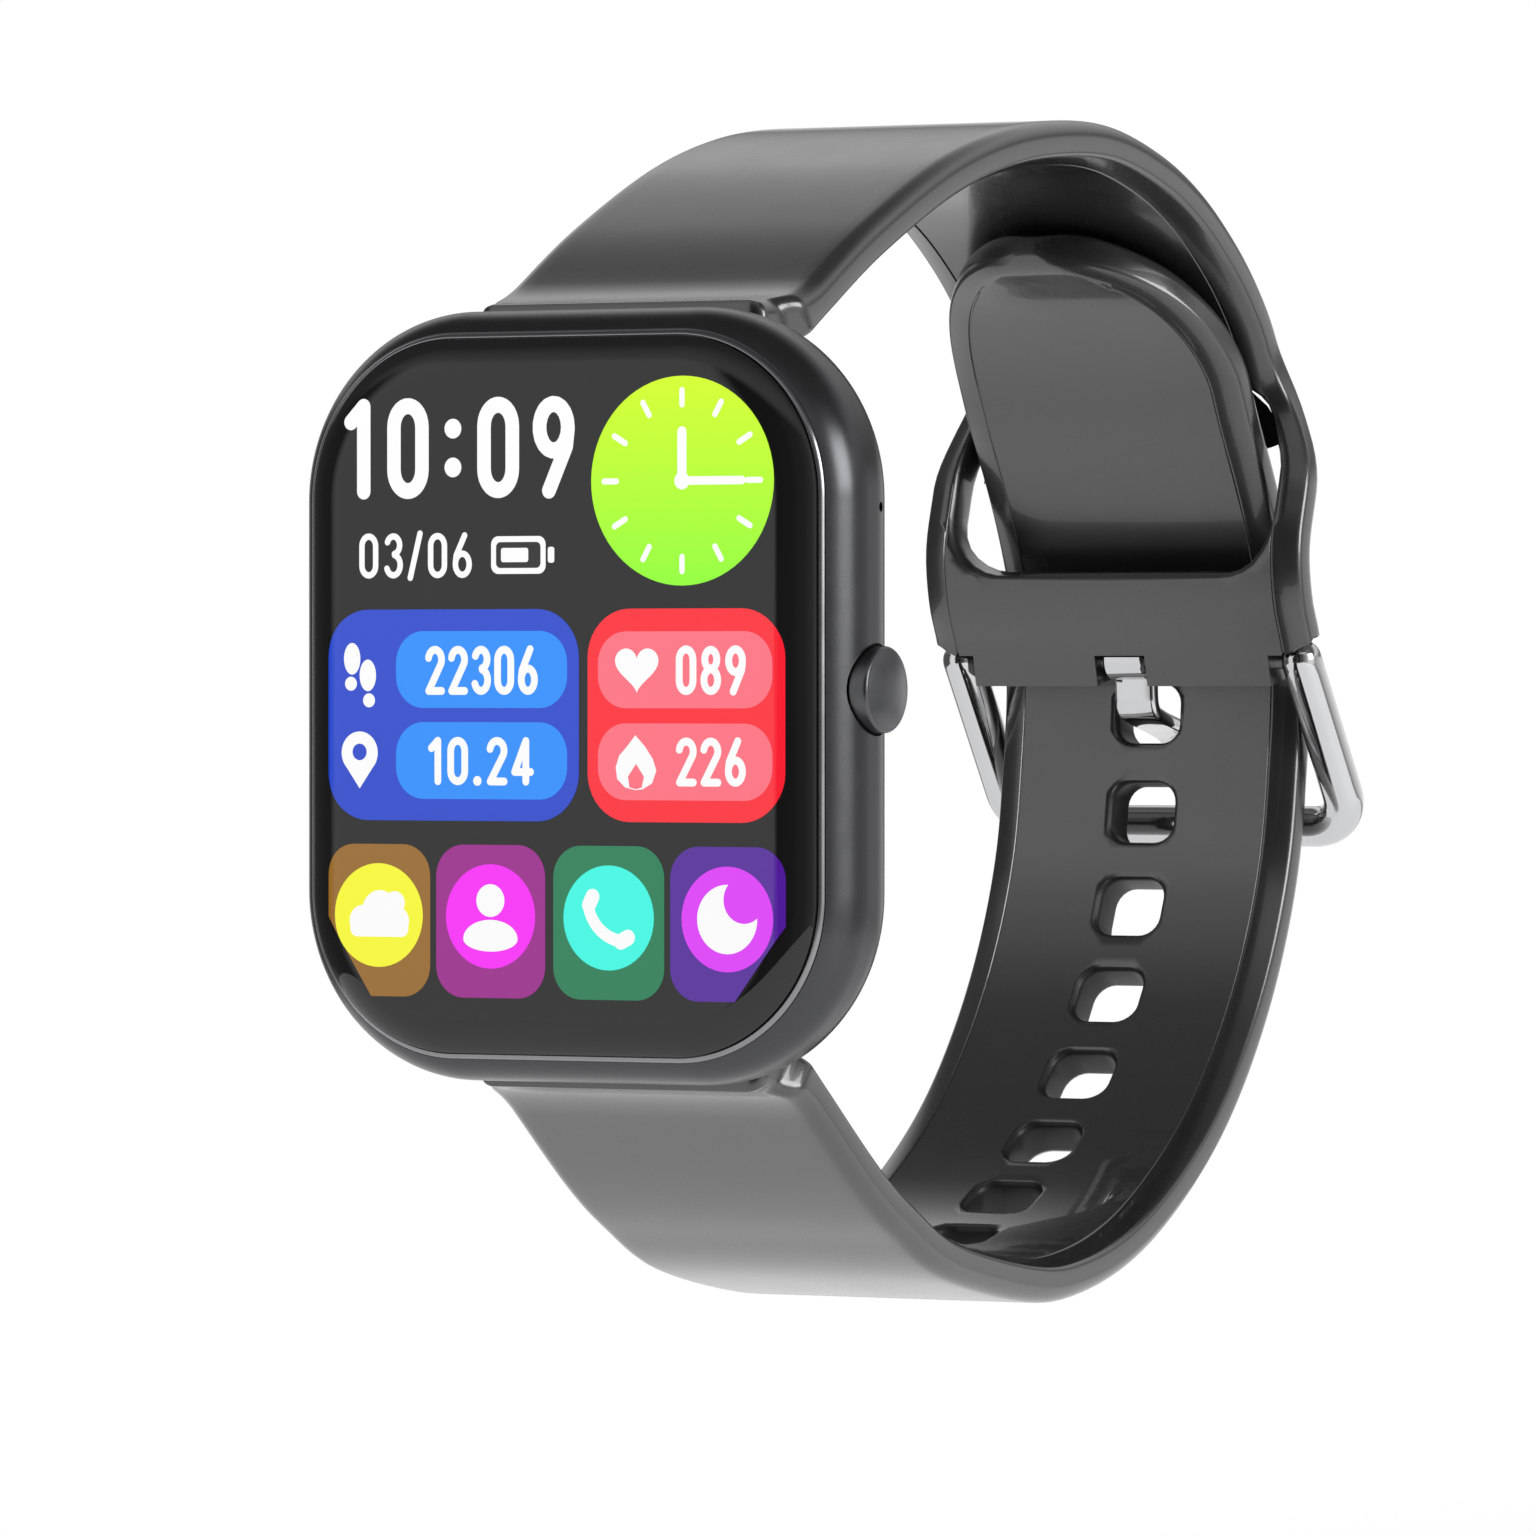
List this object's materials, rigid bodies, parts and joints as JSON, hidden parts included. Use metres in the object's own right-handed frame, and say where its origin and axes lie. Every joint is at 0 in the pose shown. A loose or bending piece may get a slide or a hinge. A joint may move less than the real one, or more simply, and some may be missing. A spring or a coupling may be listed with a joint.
{
  "type": "smartwatch",
  "caption": "Square smartwatch with rounded metal case, curved cover glass, side button and a closed silicone band with a pin-and-tuck buckle.",
  "frame": {"origin": "centre of the sensor window on the case back, where the watch touches the wrist", "axes": "+X towards the button side, +Y from the glass towards the wrist, +Z towards the twelve o'clock strap"},
  "size_m": [0.0396, 0.0835, 0.0742],
  "materials": {
    "case_metal": "dark anodised, satin",
    "bezel_metal": "dark anodised, polished edge",
    "cover_glass": "polished, curved rim, dark printed border",
    "gasket": "matt black elastomer",
    "display": "laminated colour display",
    "steel_tray": "stamped sheet",
    "flex": "amber polyimide film",
    "board": "green solder mask",
    "chip": "black moulded package",
    "cell": "foil pouch",
    "lead": "red insulated lead",
    "tungsten": "sintered weight",
    "motor_steel": "drawn steel can",
    "mic_brass": "plated lid",
    "back_plastic": "dark moulded back, fine texture",
    "window": "gloss black sensor window",
    "lights": "clear moulded emitter",
    "gold": "gold plated contact",
    "screw_steel": "machined steel",
    "button_metal": "dark anodised, satin domed face",
    "silicone": "dark grey moulded silicone, soft sheen",
    "chrome": "polished chrome plate"
  },
  "bodies": {
    "case": {"case_frame": "case_metal", "bezel_ring": "bezel_metal", "cover_glass": "cover_glass", "front_gasket": "gasket", "display_panel": "display", "display_tray": "steel_tray", "display_flex": "flex", "main_board": "board", "shield_can": "motor_steel", "board_chips": "chip", "battery": "cell", "battery_lead": "lead", "motor_can": "motor_steel", "speaker": "chip", "microphone": "mic_brass", "back_cover": "back_plastic", "back_gasket": "gasket", "sensor_window": "window", "sensor_board": "board", "sensor_lights": "lights", "charging_contacts": "gold", "back_screws": "screw_steel", "button_switch": "chip", "upper_bar_tube": "screw_steel", "upper_bar_spring": "screw_steel", "lower_bar_tube": "screw_steel", "lower_bar_spring": "screw_steel"},
    "upper_strap": {"upper_strap": "silicone"},
    "lower_strap": {"lower_strap": "silicone"},
    "buckle_bow": {"buckle_bow": "chrome", "buckle_pin": "screw_steel"},
    "buckle_prong": {"buckle_prong": "chrome"},
    "button": {"button_cap": "button_metal", "button_stem": "screw_steel", "button_seal": "gasket", "button_clip": "screw_steel"},
    "motor_rotor": {"motor_rotor": "tungsten"},
    "upper_tip_left": {"upper_bar_tip_left": "screw_steel"},
    "upper_tip_right": {"upper_bar_tip_right": "screw_steel"},
    "lower_tip_left": {"lower_bar_tip_left": "screw_steel"},
    "lower_tip_right": {"lower_bar_tip_right": "screw_steel"}
  },
  "joints": [
    {"name": "button_press", "type": "slide", "parent": "case", "child": "button", "axis": [-1, 0, 0], "range_m": [0, 0.0006], "stiffness_N_per_m": 1500, "springref_m": -0.0004},
    {"name": "upper_strap_hinge", "type": "hinge", "parent": "case", "child": "upper_strap", "pos_m": [0, -0.0033, 0.02], "axis": [1, 0, 0], "range_deg": [0, 0.3]},
    {"name": "lower_strap_hinge", "type": "hinge", "parent": "case", "child": "lower_strap", "pos_m": [0, -0.0033, -0.02], "axis": [1, 0, 0], "range_deg": [-0.3, 0]},
    {"name": "buckle_bow_hinge", "type": "hinge", "parent": "upper_strap", "child": "buckle_bow", "pos_m": [0, 0.0633, 0.0023], "axis": [1, 0, 0], "range_deg": [-4, 5]},
    {"name": "buckle_prong_hinge", "type": "hinge", "parent": "buckle_bow", "child": "buckle_prong", "pos_m": [0, 0.0633, 0.0023], "axis": [1, 0, 0], "range_deg": [0, 3]},
    {"name": "motor_spin", "type": "hinge", "parent": "case", "child": "motor_rotor", "pos_m": [0.0134, -0.004, -0.013], "axis": [0, 0, 1], "continuous": true},
    {"name": "upper_tip_left_slide", "type": "slide", "parent": "case", "child": "upper_tip_left", "axis": [1, 0, 0], "range_m": [0, 0.0009], "stiffness_N_per_m": 900, "springref_m": -0.0008},
    {"name": "upper_tip_right_slide", "type": "slide", "parent": "case", "child": "upper_tip_right", "axis": [-1, 0, 0], "range_m": [0, 0.0009], "stiffness_N_per_m": 900, "springref_m": -0.0008},
    {"name": "lower_tip_left_slide", "type": "slide", "parent": "case", "child": "lower_tip_left", "axis": [1, 0, 0], "range_m": [0, 0.0009], "stiffness_N_per_m": 900, "springref_m": -0.0008},
    {"name": "lower_tip_right_slide", "type": "slide", "parent": "case", "child": "lower_tip_right", "axis": [-1, 0, 0], "range_m": [0, 0.0009], "stiffness_N_per_m": 900, "springref_m": -0.0008}
  ],
  "couplings": [
    {"joint": "lower_strap_hinge", "follows": "upper_strap_hinge", "ratio": -1}
  ]
}
